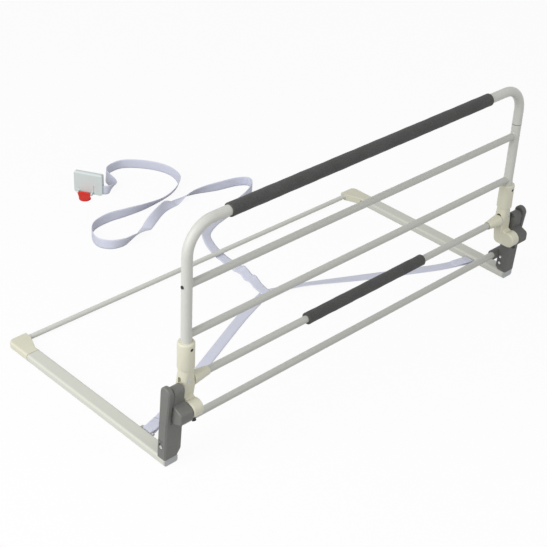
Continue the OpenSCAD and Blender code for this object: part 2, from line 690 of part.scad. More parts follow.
lever_x0 = lever_mid - lever_w / 2;
lever_x1 = lever_x0 + lever_w;
lever_pin_x0 = lever_x0 - lug_t - gap;
lever_pin_x1 = lever_x1 + lug_t + gap;
slot_t = strap_t + 1.2;
module buckle_body() color("lightgray") at_buckle() difference() {
    union() {
        intersection() {
            translate([0, buckle_t + 1, buckle_h / 2]) rotate([90, 0, 0]) linear_extrude(buckle_t + 2)
                polygon(round_rect(buckle_l, buckle_h + 1, buckle_corner));
            translate([-buckle_l, 0, 0]) rotate([90, 0, 90]) linear_extrude(2 * buckle_l)
                polygon(buckle_side());
        }
        for (x = [lever_pin_x0, lever_x1 + gap]) {
            xrod(x, x + lug_t, lever_y, lever_hinge_z, lever_eye_r + 0.5);
            translate([x, lever_y, lever_hinge_z - lever_eye_r - 0.5])
                cube([lug_t, 2 - lever_y, 2 * lever_eye_r + 1]);
        }
    }
    translate([buckle_l / 2 - 14.5, (buckle_t - slot_t) / 2, 2]) cube([15.5, slot_t, strap_w + 4]);
    translate([lever_x1 + 5.2, -1, 3]) cube([3, 2.5, 23]);
    translate([lever_x0 - 4.5, -1, 12]) cube([lever_w - 2.5, 2.5, 2.5]);
    xrod(lever_pin_x0 - 1, lever_pin_x1 + 1, lever_y, lever_hinge_z, lever_pin_r + run);
}

// The buckle's end view, round at the top and a little eased at the foot
function buckle_side(r = 6, e = 1.5) = concat(
    arc(buckle_t - r, buckle_h - r, r, 0, 90), arc(r, buckle_h - r, r, 90, 180),
    arc(e, e, e, 180, 270, 3), arc(buckle_t - e, e, e, 270, 360, 3));

// The lever in front of the buckle's foot, with a round end
module buckle_lever() color("firebrick") at_buckle() difference() {
    root_y = lever_y - 2 * lever_eye_r;
    union() {
        xrod(lever_x0, lever_x1, lever_y, lever_hinge_z, lever_eye_r);
        translate([0, 0, lever_hinge_z - lever_eye_r]) linear_extrude(lever_t) polygon(concat(
            [[lever_x1, root_y], [lever_x1, lever_y], [lever_x0, lever_y], [lever_x0, root_y]],
            arc(lever_mid + lever_tip[0], lever_y + lever_tip[1], lever_tip_r, 195, 370, 14)));
    }
    xrod(lever_x0 - 1, lever_x1 + 1, lever_y, lever_hinge_z, lever_pin_r + run);
}

module lever_pin() color("silver") at_buckle()
    xrod(lever_pin_x0, lever_pin_x1, lever_y, lever_hinge_z, lever_pin_r);

top_hoop();
post(-1);  // post_left
post(1);  // post_right
fence_bar(upper_bar_z);  // upper_bar
fence_bar(lower_bar_z);  // lower_bar
foam(long_grip_shift, long_grip_len, fence_y, top_z, long_grip_d / 2, post_r + run);  // long_grip
arm(-1);  // arm_left
arm(1);  // arm_right
neck_screws();
sleeve_screws();
pin_screws();
bar_screws();
release_bar();
foam(short_grip_shift, short_grip_len, fence_y, release_z, short_grip_d / 2, bar_r + run);  // release_grip
release_end(-1);  // release_end_left
release_end(1);  // release_end_right
release_spring(-1);  // release_spring_left
release_spring(1);  // release_spring_right
bracket(-1);  // bracket_left
bracket(1);  // bracket_right
bracket_screws();
pivot_pin(-1);  // pivot_pin_left
pivot_pin(1);  // pivot_pin_right
rail(-1);  // rail_left
rail(1);  // rail_right
rail_cap(-1);  // rail_cap_left
rail_cap(1);  // rail_cap_right
cross_bar();
corner(-1);  // corner_left
corner(1);  // corner_right
corner_screws();
rear_bar();
strap_anchor(-1);  // strap_anchor_left
strap_anchor(1);  // strap_anchor_right
strap(leg_route(-1, leg_left_way), 1);  // strap_leg_left
strap(leg_route(1, leg_right_way), 1);  // strap_leg_right
strap([for (p = tail_route) p + [0, tail_y, 0, 0]], 2);  // strap_tail
buckle_body();
buckle_lever();
lever_pin();
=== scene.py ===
"""Looks of the bed assist rail: camera, strap, grips, trim, materials, floor and light. Metres."""

import json
import math

import bmesh
import bpy
from mathutils import Matrix, Vector


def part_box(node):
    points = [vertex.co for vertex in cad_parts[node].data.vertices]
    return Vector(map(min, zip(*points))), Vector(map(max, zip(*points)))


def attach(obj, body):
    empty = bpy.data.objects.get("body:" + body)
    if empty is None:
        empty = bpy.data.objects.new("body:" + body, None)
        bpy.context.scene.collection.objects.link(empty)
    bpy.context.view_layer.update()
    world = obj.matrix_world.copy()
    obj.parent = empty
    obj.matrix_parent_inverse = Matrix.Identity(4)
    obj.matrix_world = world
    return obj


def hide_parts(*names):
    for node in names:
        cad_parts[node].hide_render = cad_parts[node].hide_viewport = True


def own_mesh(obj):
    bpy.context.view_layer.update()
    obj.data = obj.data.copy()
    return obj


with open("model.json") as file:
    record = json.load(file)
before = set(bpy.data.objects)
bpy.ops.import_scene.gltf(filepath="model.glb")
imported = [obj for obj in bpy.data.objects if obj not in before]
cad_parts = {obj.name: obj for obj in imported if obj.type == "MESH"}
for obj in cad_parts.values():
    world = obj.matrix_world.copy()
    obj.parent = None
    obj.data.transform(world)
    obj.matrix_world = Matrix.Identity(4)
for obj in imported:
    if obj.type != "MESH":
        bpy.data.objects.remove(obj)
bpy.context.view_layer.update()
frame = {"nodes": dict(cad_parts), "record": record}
nodes = frame["nodes"]
MM = 0.001
UP = Vector((0, 0, 1))
POST_X, POST_R, BAR_R = 0.5, 11 * MM, 8 * MM


# Camera: the photo's own viewpoint, worked out from the straight edges of the rail

CAM_AZIMUTH, CAM_ELEVATION, CAM_ROLL = math.radians(-45.468), math.radians(32.223), math.radians(3.02)
CAM_PLACE = Vector((-1.8896, -1.8349, 1.7654))
FOCAL_PX, PHOTO_PX, SENSOR_MM = 1345.7, 547, 36


def make_camera():
    back = Vector((math.sin(CAM_AZIMUTH) * math.cos(CAM_ELEVATION),
                   -math.cos(CAM_AZIMUTH) * math.cos(CAM_ELEVATION), math.sin(CAM_ELEVATION)))
    right = (-back).cross(UP).normalized()
    up = right.cross(-back)
    c, s = math.cos(CAM_ROLL), math.sin(CAM_ROLL)
    axes = Matrix((c * right + s * up, c * up - s * right, back)).transposed()
    data = bpy.data.cameras.new("camera")
    data.sensor_width = SENSOR_MM
    data.lens = FOCAL_PX / PHOTO_PX * SENSOR_MM
    camera = bpy.data.objects.new("camera", data)
    camera.matrix_world = Matrix.Translation(CAM_PLACE) @ axes.to_4x4()
    bpy.context.scene.collection.objects.link(camera)
    bpy.context.scene.camera = camera


# Materials

def add_node(tree, kind, **settings):
    """A new node, with settings that name its own values or its sockets."""
    node = tree.nodes.new(kind)
    for key, value in settings.items():
        if hasattr(node, key):
            setattr(node, key, value)
        else:
            node.inputs[key].default_value = value
    return node


class Shader:
    """A Principled material that is built one node at a time."""

    def __init__(self, name, color, roughness, metallic=0.0):
        self.material = bpy.data.materials.new(name)
        self.material.use_nodes = True
        self.tree = self.material.node_tree
        self.bsdf = self.tree.nodes["Principled BSDF"]
        self.set("Base Color", (*color, 1))
        self.set("Roughness", roughness)
        self.set("Metallic", metallic)
        self.place = self.add("ShaderNodeTexCoord").outputs["Object"]

    def set(self, socket, value):
        self.bsdf.inputs[socket].default_value = value

    def add(self, kind, **settings):
        return add_node(self.tree, kind, **settings)

    def link(self, a, b):
        self.tree.links.new(a, b)

    def noise(self, scale, detail=4.0, rough=0.55, stretch=(1, 1, 1)):
        mapping = self.add("ShaderNodeMapping", Scale=stretch)
        self.link(self.place, mapping.inputs["Vector"])
        node = self.add("ShaderNodeTexNoise", Scale=scale, Detail=detail, Roughness=rough)
        self.link(mapping.outputs["Vector"], node.inputs["Vector"])
        return node.outputs["Fac"]

    def spread(self, value, low, high, start=0.3, stop=0.7):
        """Takes a value from start..stop to low..high."""
        node = self.add("ShaderNodeMapRange", **{"From Min": start, "From Max": stop,
                                                 "To Min": low, "To Max": high})
        self.link(value, node.inputs["Value"])
        return node.outputs["Result"]

    def calc(self, kind, *values):
        node = self.add("ShaderNodeMath", operation=kind)
        for socket, value in zip(node.inputs, values):
            if isinstance(value, (int, float)):
                socket.default_value = value
            else:
                self.link(value, socket)
        return node.outputs[0]

    def mix(self, factor, a, b):
        node = self.add("ShaderNodeMix", data_type="RGBA")
        self.link(factor, node.inputs["Factor"])
        for socket, value in ((node.inputs[6], a), (node.inputs[7], b)):
            if isinstance(value, tuple):
                socket.default_value = (*value, 1)
            else:
                self.link(value, socket)
        return node.outputs[2]

    def color(self, socket):
        self.link(socket, self.bsdf.inputs["Base Color"])

    def roughness(self, socket):
        self.link(socket, self.bsdf.inputs["Roughness"])

    def bump(self, height, distance, strength):
        """Lays a bump over those that the material already has."""
        node = self.add("ShaderNodeBump", Strength=strength, Distance=distance)
        self.link(height, node.inputs["Height"])
        last = self.bsdf.inputs["Normal"]
        if last.is_linked:
            self.link(last.links[0].from_socket, node.inputs["Normal"])
        self.link(node.outputs["Normal"], last)


def shade(color, factor):
    return tuple(min(1.0, c * factor) for c in color)


def powder_coat(name, color, rough=0.42):
    s = Shader(name, color, rough)
    cloud = s.noise(9, detail=3)
    scuff = s.noise(140, detail=6, rough=0.7, stretch=(0.25, 1, 1))
    coat = s.mix(cloud, shade(color, 0.965), shade(color, 1.02))
    s.color(s.mix(s.spread(scuff, 0, 0.5, 0.62, 0.8), coat, shade(color, 0.92)))
    s.roughness(s.spread(cloud, rough - 0.06, rough + 0.08))
    s.bump(s.noise(420, detail=3, rough=0.5), 0.1 * MM, 0.12)
    s.set("Coat Weight", 0.12)
    s.set("Coat Roughness", 0.25)
    return s.material


def moulded(name, color, rough=0.5, grain=2600.0, specular=0.5):
    s = Shader(name, color, rough)
    s.set("Specular IOR Level", specular)
    cloud = s.noise(14)
    rub = s.noise(90, detail=6, rough=0.72)
    plain = s.mix(cloud, shade(color, 0.94), shade(color, 1.04))
    s.color(s.mix(s.spread(rub, 0, 0.6, 0.6, 0.82), plain, shade(color, 0.88)))
    s.roughness(s.spread(rub, rough - 0.07, rough + 0.1))
    s.bump(s.noise(grain, detail=3, rough=0.6), 0.15 * MM, 0.12)
    s.bump(s.noise(45, detail=2), 0.6 * MM, 0.1)
    return s.material


def metal(name, color, rough=0.3):
    s = Shader(name, color, rough, metallic=1.0)
    streak = s.noise(900, rough=0.6)
    s.color(s.mix(s.noise(60, detail=3), shade(color, 0.82), shade(color, 1.05)))
    s.roughness(s.spread(streak, rough - 0.08, rough + 0.16))
    s.bump(streak, 0.05 * MM, 0.4)
    return s.material


def foam_rubber(name, color):
    s = Shader(name, color, 0.85)
    cell = s.add("ShaderNodeTexVoronoi", Scale=1100.0)
    s.link(s.place, cell.inputs["Vector"])
    cloud = s.noise(22)
    speck = s.noise(320, detail=5, rough=0.7)
    plain = s.mix(cloud, shade(color, 0.75), shade(color, 1.2))
    s.color(s.mix(s.spread(speck, 0, 1, 0.4, 0.75), plain, shade(color, 1.7)))
    s.roughness(s.spread(cloud, 0.72, 0.94))
    s.bump(cell.outputs["Distance"], 0.4 * MM, 0.3)
    s.bump(s.noise(60, detail=3), 1.2 * MM, 0.25)
    s.set("Sheen Weight", 0.06)
    s.set("Sheen Roughness", 0.5)
    return s.material


PICK, RIB = 2.2 * MM, 1.3 * MM


def webbing(name, color):
    """Woven tape: the ribbon's own u runs across it and v along it, both in metres."""
    s = Shader(name, color, 0.7)
    split = s.add("ShaderNodeSeparateXYZ")
    s.link(s.add("ShaderNodeUVMap").outputs["UV"], split.inputs[0])
    across, along = split.outputs[0], split.outputs[1]
    rib = s.calc("SINE", s.calc("MULTIPLY", across, 2 * math.pi / RIB))
    phase = s.calc("ADD", s.calc("MULTIPLY", along, 2 * math.pi / PICK), s.calc("MULTIPLY", rib, 1.4))
    pick = s.calc("SINE", phase)
    weave = s.calc("ADD", s.calc("MULTIPLY", pick, 0.35), s.calc("MULTIPLY", rib, 0.15))
    height = s.calc("ADD", weave, 0.5)
    tint = s.mix(s.noise(16, detail=3), shade(color, 0.93), shade(color, 1.03))
    # Painted shade: the low places of the weave, between the threads, are darker.
    s.color(s.mix(s.spread(height, 0, 1, 0.05, 0.95), shade(color, 0.86), tint))
    s.roughness(s.spread(s.noise(200, detail=3), 0.62, 0.8))
    s.bump(height, 0.3 * MM, 0.4)
    s.set("Sheen Weight", 0.25)
    s.set("Sheen Roughness", 0.4)
    return s.material


TUBE_COLOR = (0.64, 0.645, 0.60)
RAIL_COLOR = (0.68, 0.685, 0.615)
FOAM_COLOR = (0.053, 0.053, 0.052)
CREAM_COLOR = (0.73, 0.715, 0.575)
BRACKET_COLOR = (0.165, 0.165, 0.156)
# Brown of the painted shade in the seams between the corners and the rails.
SEAM_SHADE_COLOR = (0.36, 0.25, 0.15)
CAP_COLOR = (0.50, 0.51, 0.52)
STEEL_COLOR = (0.62, 0.62, 0.63)
DARK_COLOR = (0.05, 0.05, 0.055)
WEBBING_COLOR = (0.775, 0.795, 0.93)
BUCKLE_COLOR = (0.67, 0.74, 0.725)
LEVER_COLOR = (0.74, 0.03, 0.018)


def make_materials():
    return {
        "tube": powder_coat("tube", TUBE_COLOR),
        # The thin bars are the same paint as the posts; their darker copy is painted shade.
        "bar": powder_coat("bar", shade(TUBE_COLOR, 0.86)),
        "rear_bar": powder_coat("rear_bar", shade(TUBE_COLOR, 1.08)),
        "rail": powder_coat("rail", RAIL_COLOR, rough=0.5),
        "foam": foam_rubber("foam", FOAM_COLOR),
        "cream": moulded("cream", CREAM_COLOR, rough=0.42),
        "bracket": moulded("bracket", BRACKET_COLOR, rough=0.52),
        # The right bracket is the same grey plastic as the left one; its darker copy is painted shade.
        "painted_shade_bracket": moulded("painted_shade_bracket", shade(BRACKET_COLOR, 0.68), rough=0.58),
        # Painted shade for the seams between the corners and the rails.
        "seam_shade": moulded("seam_shade", SEAM_SHADE_COLOR, rough=0.6),
        "cap": moulded("cap", CAP_COLOR),
        "steel": metal("steel", STEEL_COLOR),
        "dark": metal("dark", DARK_COLOR, rough=0.42),
        "webbing": webbing("webbing", WEBBING_COLOR),
        "thread": moulded("thread", shade(WEBBING_COLOR, 1.12), rough=0.6, grain=3200.0),
        "buckle": moulded("buckle", BUCKLE_COLOR, rough=0.36, grain=1500.0),
        "lever": moulded("lever", LEVER_COLOR, rough=0.45, grain=1500.0, specular=0.25),
    }


# Meshes

def around(count):
    """The angles of points spread evenly round a circle."""
    return [2 * math.pi * k / count for k in range(count)]


def skin(mesh, rings, closed=False, smooth=True):
    """Joins rings of points to a tube with flat ends, or to a closed loop."""
    for a, b in zip(rings, rings[1:] + rings[:1] if closed else rings[1:]):
        for k in range(len(a)):
            j = (k + 1) % len(a)
            mesh.faces.new((a[k], a[j], b[j], b[k])).smooth = smooth
    if not closed:
        mesh.faces.new(rings[0][::-1])
        mesh.faces.new(rings[-1])


def finished(mesh, name):
    """The mesh data of a bmesh, with its faces turned outwards."""
    bmesh.ops.recalc_face_normals(mesh, faces=mesh.faces)
    data = bpy.data.meshes.new(name)
    mesh.to_mesh(data)
    mesh.free()
    return data


def new_piece(name, data, body, slot, *stands_for, finish=None):
    piece = bpy.data.objects.new(name, data)
    bpy.context.scene.collection.objects.link(piece)
    piece.data.materials.append(materials[finish or slot])
    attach(piece, body)
    if stands_for:
        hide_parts(*stands_for)
    return piece


# The strap. Each leg's way is its share of the straight line from anchor to fork, its lift in mm and its tip
# in degrees. The tail's route is x, y and lift in mm and tip in degrees, a little nearer to the photo than
# the CAD strap.

STRAP_W, STRAP_T = 26 * MM, 1.8 * MM
TAPE_STEPS, TAPE_EDGE = 8, 0.55
ANCHOR_X, ANCHOR_Y = 0.5114, -0.150
ROD_X, ROD_Z, ROD_R, ROD_GAP = 0.520, 0.009, 0.0025, 0.3 * MM
FORK, FORK_GIVE, GIVE_FROM = (0.030, 0.088), Vector((-0.004, -0.013)), 0.7
LEG_START = [(0, 8.1, 0), (0.045, 5, 0), (0.1, 2, 0), (0.16, 0.4, 0), (0.3, 0.2, 0)]
LEG_LEFT_WAY = LEG_START + [(0.5, 0.2, 0), (0.7, 0.2, 0), (0.8, 0.2, 0), (0.9, 0.2, 0), (1, 0.2, 0)]
LEG_RIGHT_WAY = LEG_START + [(0.5, 0.3, 2), (0.62, 0.4, 7), (0.72, 0.6, 12), (0.82, 1.2, 16),
                             (0.91, 2.05, 11), (1, 2.05, 0)]
TAIL_ROUTE = [
    (24, 56, 3.9, 0), (32, 98, 3.9, 0), (40, 140, 2, -10), (44, 180, 4, -16), (52, 220, 1, -9),
    (58, 255, 0.2, 0), (64, 290, 0.2, 0), (76, 330, 1, 10), (100, 372, 2, 25), (150, 398, 2, 40),
    (220, 415, 1, 60), (300, 440, 0.5, 80), (352, 470, 0.2, 90), (366, 498, 0.2, 90), (340, 518, 0.2, 90),
    (280, 532, 0.2, 88), (225, 547, 0.2, 64), (190, 551, 0.5, 44), (150, 550, 0.5, 4),
    (120, 545, 0.5, -34), (85, 532, 0.2, -60), (35, 510, 0.2, -30), (-5, 490, 0.5, 10),
    (-35, 477, 0.5, 40), (-62, 468, 0.5, 60), (-95, 462, 0.2, 78), (-128, 474, 0.2, 90),
    (-145, 505, 0.2, 90), (-132, 545, 0.2, 90), (-100, 575, 0.2, 90), (-48, 584, 0.2, 85),
    (2, 577, 0.2, 95), (58, 571, 0.2, 112), (118, 574, 0.2, 128), (172, 588, 0.2, 120),
    (214, 613, 0.2, 108), (233, 641, 0.2, 100), (239, 682, 0.2, 92), (228, 723, 0.2, 90),
    (199, 766, 0.2, 90), (164, 794, 0.2, 90), (132, 797, 0.2, 90), (106, 789, 0.2, 90),
    (91, 773, 0.2, 82), (83, 754, 0.3, 58), (80, 735, 0.6, 42), (71, 716, 1.2, 44), (56, 704, 2, 64),
    (42, 699, 2.6, 84), (29.5, 703.8, 2.8, 90), (21.5, 717.6, 2.8, 90)]
LEG_STEPS, TAIL_STEPS = 8, 14


def spline(points, steps):
    """A smooth line through points of any size, in so many steps to each stretch."""
    points = [Vector(p) for p in points]
    last = len(points) - 1
    line = []
    for i in range(last):
        a, b, c, d = (points[min(max(i + k, 0), last)] for k in (-1, 0, 1, 2))
        for k in range(steps):
            t = k / steps
            line.append(0.5 * (2 * b + (c - a) * t + (2 * a - 5 * b + 4 * c - d) * t ** 2
                               + (3 * b - a - 3 * c + d) * t ** 3))
    return line + [points[-1]]


def lie(route, steps):
    """Rows of (middle, way across) along a route of x, y, lift and tip, standing on the floor."""
    line = spline(route, steps)
    rows = []
    for i, (x, y, lift, tip) in enumerate(line):
        ahead = line[min(i + 1, len(line) - 1)] - line[max(i - 1, 0)]
        side = Vector((-ahead[1], ahead[0], 0)).normalized()
        c, s = math.cos(math.radians(tip)), math.sin(math.radians(tip))
        z = lift + STRAP_W / 2 * abs(s) + STRAP_T / 2 * abs(c)
        rows.append((Vector((x, y, z)), side * c + UP * s))
    return rows


CRINKLE_FROM, CRINKLE_TO, CRINKLES = 0.106, 0.240, 3
CRINKLE_HIGH, CRINKLE_TILT, CRINKLE_FADE = 2.2 * MM, 0.15, 6


def crinkle(rows):
    """Lets the tail's first stretch lie in small waves, as webbing does that was long folded."""
    waved = []
    for middle, across in rows:
        t = (middle.y - CRINKLE_FROM) / (CRINKLE_TO - CRINKLE_FROM)
        if 0 < t < 1:
            turn = 2 * math.pi * CRINKLES * t
            fade = min(1, CRINKLE_FADE * t, CRINKLE_FADE * (1 - t))
            tilt = CRINKLE_TILT * fade * math.sin(turn)
            rise = CRINKLE_HIGH * fade * (1 - math.cos(turn)) + STRAP_W / 2 * abs(tilt)
            middle = middle + UP * rise
            across = (across + UP * tilt).normalized()
        waved.append((middle, across))
    return waved


FOLD_LONG, FOLD_STEPS, FOLD_SQUARE, FOLD_UNDER, FOLD_TURNS = 46 * MM, 10, 8 * MM, 20 * MM, 12
FOLD_SWING, FOLD_LAYER = 1.8, 1.03


def leg_rows(side, way):
    """A leg: its sewn-down end, the turn round the anchor's rod, and the run to the fork."""
    start, end = Vector((side * ANCHOR_X, ANCHOR_Y)), Vector(FORK)
    route = []
    for t, lift, tip in way:
        give = max(0, (t - GIVE_FROM) / (1 - GIVE_FROM)) ** 2
        route.append((*(start.lerp(end, t) + FORK_GIVE * give), lift * MM, tip))
    rows = lie(route, LEG_STEPS)
    run = [r for r in rows if (r[0].xy - start).length > FOLD_UNDER]
    along = (end - start).normalized()
    across = Vector((-along.y, along.x, 0))
    rod = Vector((side * ROD_X, ANCHOR_Y, ROD_Z))
    rod_across = Vector((0, math.copysign(1, across.y), 0))
    turn = ROD_R + STRAP_T / 2 + ROD_GAP
    above, under = [], []
    for k in range(FOLD_STEPS + 1):
        far = k / FOLD_STEPS
        d = FOLD_LONG * far
        if d > FOLD_SQUARE:
            xy = start + along * (d - FOLD_SQUARE)
        else:
            xy = Vector((rod.x - side * d, rod.y))
        way_across = rod_across.lerp(across, min(1, far * FOLD_SWING)).normalized()
        low = min(rows, key=lambda r: (r[0].xy - xy).length)[0].z
        fall = far * far * (3 - 2 * far)
        z = (rod.z + turn) * (1 - fall) + (low + FOLD_LAYER * STRAP_T) * fall
        above.append((Vector((*xy, z)), way_across))
        if d < FOLD_UNDER:
            fall = min(1, d / FOLD_UNDER)
            z = (rod.z - turn) * (1 - fall) + run[0][0].z * fall
            under.append((Vector((*xy, z)), way_across))
    bend = []
    for k in range(1, FOLD_TURNS):
        a = math.pi * k / FOLD_TURNS
        bend.append((rod + Vector((side * turn * math.sin(a), 0, turn * math.cos(a))), rod_across))
    return above[::-1] + bend + under + run


def tape(name, rows):
    """Webbing through rows of (middle, way across). Returns its mesh data and its length."""
    mesh = bmesh.new()
    uv = mesh.loops.layers.uv.new("UVMap")
    half, thick = STRAP_W / 2, STRAP_T / 2
    profile = [(-half + STRAP_W * i / TAPE_STEPS, -thick * (TAPE_EDGE if i in (0, TAPE_STEPS) else 1))
               for i in range(TAPE_STEPS + 1)]
    profile += [(x, -t) for x, t in reversed(profile)]
    rings, length = [], [0.0]
    for i, (middle, side) in enumerate(rows):
        ahead = rows[min(i + 1, len(rows) - 1)][0] - rows[max(i - 1, 0)][0]
        face = ahead.cross(side).normalized()
        if i:
            length.append(length[-1] + (middle - rows[i - 1][0]).length)
        rings.append([mesh.verts.new(middle + side * x + face * t) for x, t in profile])
    skin(mesh, rings)
    mesh.verts.index_update()
    count = len(profile)
    for face in mesh.faces:
        for loop in face.loops:
            ring, spot = divmod(loop.vert.index, count)
            loop[uv].uv = (profile[spot][0], length[ring]) if len(face.verts) == 4 else (0, 0)
    return finished(mesh, name), length[-1]


STITCH_PITCH, STITCH_LONG, STITCH_WIDE, STITCH_HIGH = 3.0 * MM, 2.3 * MM, 0.55 * MM, 0.45 * MM
STITCH_SHAPE, STITCH_SIDES = ((-0.5, 0.25), (-0.25, 0.9), (0.25, 0.9), (0.5, 0.25)), 6
SEAM_IN, LEG_SEAM, TAIL_SEAM = 0.8, (1, 6), (2, 12)


def box_seam(rows, first, last):
    """The four sides and two diagonals of a sewn box between two rows of a tape, on its upper face."""
    def spot(i, u):
        middle, side = rows[i]
        return middle + side * (u * STRAP_W / 2) + UP * (STRAP_T / 2)
    a, b, c, d = spot(first, -SEAM_IN), spot(first, SEAM_IN), spot(last, SEAM_IN), spot(last, -SEAM_IN)
    up = (b - a).cross(d - a).normalized()
    up = up if up.z > 0 else -up
    return [(p, q, up) for p, q in ((a, b), (b, c), (c, d), (d, a), (a, c), (b, d))]


def stitches(name, seams):
    """Short raised stitches along seams of (start, end, up)."""
    mesh = bmesh.new()
    for start, end, up in seams:
        run = end - start
        count = max(1, int(run.length / STITCH_PITCH))
        along = run.normalized()
        across = up.cross(along).normalized()
        for i in range(count):
            middle = start + run * (i + 0.5) / count
            rings = []
            for u, r in STITCH_SHAPE:
                wide, high = across * STITCH_WIDE * r, up * STITCH_HIGH * r
                rings.append([mesh.verts.new(middle + along * STITCH_LONG * u + wide * math.cos(a)
                                             + high * math.sin(a)) for a in around(STITCH_SIDES)])
            skin(mesh, rings)
    return new_piece(name, finished(mesh, name), "base", "webbing", finish="thread")


def make_strap():
    tail = [(x * MM, y * MM, lift * MM, tip) for x, y, lift, tip in TAIL_ROUTE]
    for node, rows, seam, far_end, extra in (
            ("strap_leg_left", leg_rows(-1, LEG_LEFT_WAY), LEG_SEAM, "object", []),
            ("strap_leg_right", leg_rows(1, LEG_RIGHT_WAY), LEG_SEAM, "object", []),
            ("strap_tail", crinkle(lie(tail, TAIL_STEPS)), TAIL_SEAM, "fitting",
             ["buckle_body", "buckle_lever", "lever_pin"])):
        data, length = tape(node + "_webbing", rows)
        piece = new_piece(node + "_webbing", data, "base", "webbing", node)
        thread = stitches(node + "_thread", box_seam(rows, *seam))


# Foam grips: sleeves with rounded rims and the slight unevenness of hand-fitted foam

FOAM_RIM, FOAM_GAP, FOAM_STATIONS, FOAM_TURNS = 1.8 * MM, 0.2 * MM, 60, 40
FOAM_WAVE, FOAM_THIN, FOAM_FADE = 0.15 * MM, 0.3 * MM, 10 * MM
FOAM_LONG_WAVES, FOAM_SHORT_WAVES = 61, 143  # radians to a metre


def foam_sleeve(name, node, body, bore):
    low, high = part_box(node)
    y, z = (low.y + high.y) / 2, (low.z + high.z) / 2
    long, outer = high.x - low.x, (high.z - low.z) / 2
    rim = [(0, bore + FOAM_GAP), (0, outer - FOAM_RIM)]
    rim += [(FOAM_RIM * (1 - math.cos(a)), outer - FOAM_RIM * (1 - math.sin(a)))
            for a in (math.radians(d) for d in (30, 60, 90))]
    stations = rim + [(long * i / FOAM_STATIONS, outer) for i in range(1, FOAM_STATIONS)]
    stations += [(long - x, r) for x, r in reversed(rim)]
    mesh = bmesh.new()
    rings = []
    for x, r in stations:
        fade = min(1, x / FOAM_FADE, (long - x) / FOAM_FADE) if r > bore + MM else 0
        ring = []
        for a in around(FOAM_TURNS):
            wave = math.sin(x * FOAM_LONG_WAVES + 2 * a) + math.sin(x * FOAM_SHORT_WAVES - a)
            radius = r + (FOAM_WAVE * wave - FOAM_THIN) * fade
            ring.append(mesh.verts.new((low.x + x, y + radius * math.cos(a), z + radius * math.sin(a))))
        rings.append(ring)
    skin(mesh, rings, closed=True)
    piece = new_piece(name, finished(mesh, name), body, "foam", node)


# CAD nodes that stay: their slot's material, a finish of their own (the rear bar), darker copies of their
# material that are painted shade (the thin bars and the right bracket), and softened edges on what is moulded

SOFT_EDGES = {"arm_left": 1.4, "arm_right": 1.4, "bracket_left": 1.3, "bracket_right": 1.3,
              "release_end_left": 1.0, "release_end_right": 1.0, "corner_left": 0.8, "corner_right": 0.8,
              "rail_cap_left": 0.4, "rail_cap_right": 0.4, "buckle_body": 1.6, "buckle_lever": 1.2,
              "strap_anchor_left": 0.5, "strap_anchor_right": 0.5}
OWN_FINISH_AND_PAINTED_SHADE = {"upper_bar": "bar", "lower_bar": "bar", "cross_bar": "bar", "release_bar": "bar",
              "rear_bar": "rear_bar", "bracket_right": "painted_shade_bracket"}
SAME_POINT, FLAT_ANGLE, EDGE_ANGLE = 2e-6, math.radians(0.6), math.radians(33)


def soften(piece, width):
    """Rounds a moulded piece's edges by a width in mm; flat faces stay flat and curved ones smooth."""
    weld = piece.modifiers.new("weld", "WELD")
    weld.merge_threshold = SAME_POINT
    flat = piece.modifiers.new("flat", "DECIMATE")
    flat.decimate_type = "DISSOLVE"
    flat.angle_limit = FLAT_ANGLE
    bevel = piece.modifiers.new("edges", "BEVEL")
    bevel.width = width * MM
    bevel.segments = 3
    bevel.limit_method = "ANGLE"
    bevel.angle_limit = EDGE_ANGLE
    bevel.harden_normals = True


def dress_nodes():
    for part in frame["record"]["subparts"]:
        node = nodes[part["node"]]
        node.data.materials.clear()
        node.data.materials.append(materials[OWN_FINISH_AND_PAINTED_SHADE.get(part["node"], part["material_slot"])])
        if part["node"] in SOFT_EDGES:
            soften(node, SOFT_EDGES[part["node"]])


# Weld beads where the straight bars meet the posts

BEAD_R, BEAD_TURNS, BEAD_SIDES = 1.1 * MM, 36, 6
BEAD_SLOW, BEAD_FAST = (0.12, 7), (0.08, 13)  # share of the radius and waves to a turn


def weld_beads(name, bar):
    low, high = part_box(bar)
    y, z, bar_r = (low.y + high.y) / 2, (low.z + high.z) / 2, (high.z - low.z) / 2
    mesh = bmesh.new()
    for end in (-1, 1):
        rings = []
        for a in around(BEAD_TURNS):
            out = Vector((0, math.cos(a), math.sin(a)))
            reach = math.sqrt(POST_R ** 2 - (bar_r * out.y) ** 2)
            middle = Vector((end * (POST_X - reach), y, z)) + out * bar_r
            size = BEAD_R * (1 + BEAD_SLOW[0] * math.sin(BEAD_SLOW[1] * a)
                             + BEAD_FAST[0] * math.sin(BEAD_FAST[1] * a + end))
            rings.append([mesh.verts.new(middle + size * (out * math.cos(b) + Vector((math.sin(b), 0, 0))))
                          for b in around(BEAD_SIDES)])
        skin(mesh, rings, closed=True)
    new_piece(name, finished(mesh, name), "fence", "tube")


# A dark ring of painted shade round the right post above the upper bar, where the joint's seam falls in shade

POST_SHADE_Z, POST_SHADE_HIGH, POST_SHADE_PROUD, POST_SHADE_GAP, POST_SHADE_TURNS = 0.4305, 1.5 * MM, 0.12 * MM, 0.02 * MM, 40


def post_seam_shade(name):
    low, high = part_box("post_right")
    x, y = (low.x + high.x) / 2, (low.y + high.y) / 2
    inner, outer = POST_R + POST_SHADE_GAP, POST_R + POST_SHADE_PROUD
    mesh = bmesh.new()
    skin(mesh, [[mesh.verts.new((x + r * math.cos(a), y + r * math.sin(a), POST_SHADE_Z + z * POST_SHADE_HIGH))
                 for a in around(POST_SHADE_TURNS)]
                for r, z in ((inner, -0.5), (outer, -0.4), (outer, 0.4), (inner, 0.5))], closed=True)
    # Painted shade: this dark band stands for the shade in the seam.
    new_piece(name, finished(mesh, name), "fence", "dark", finish="bracket")


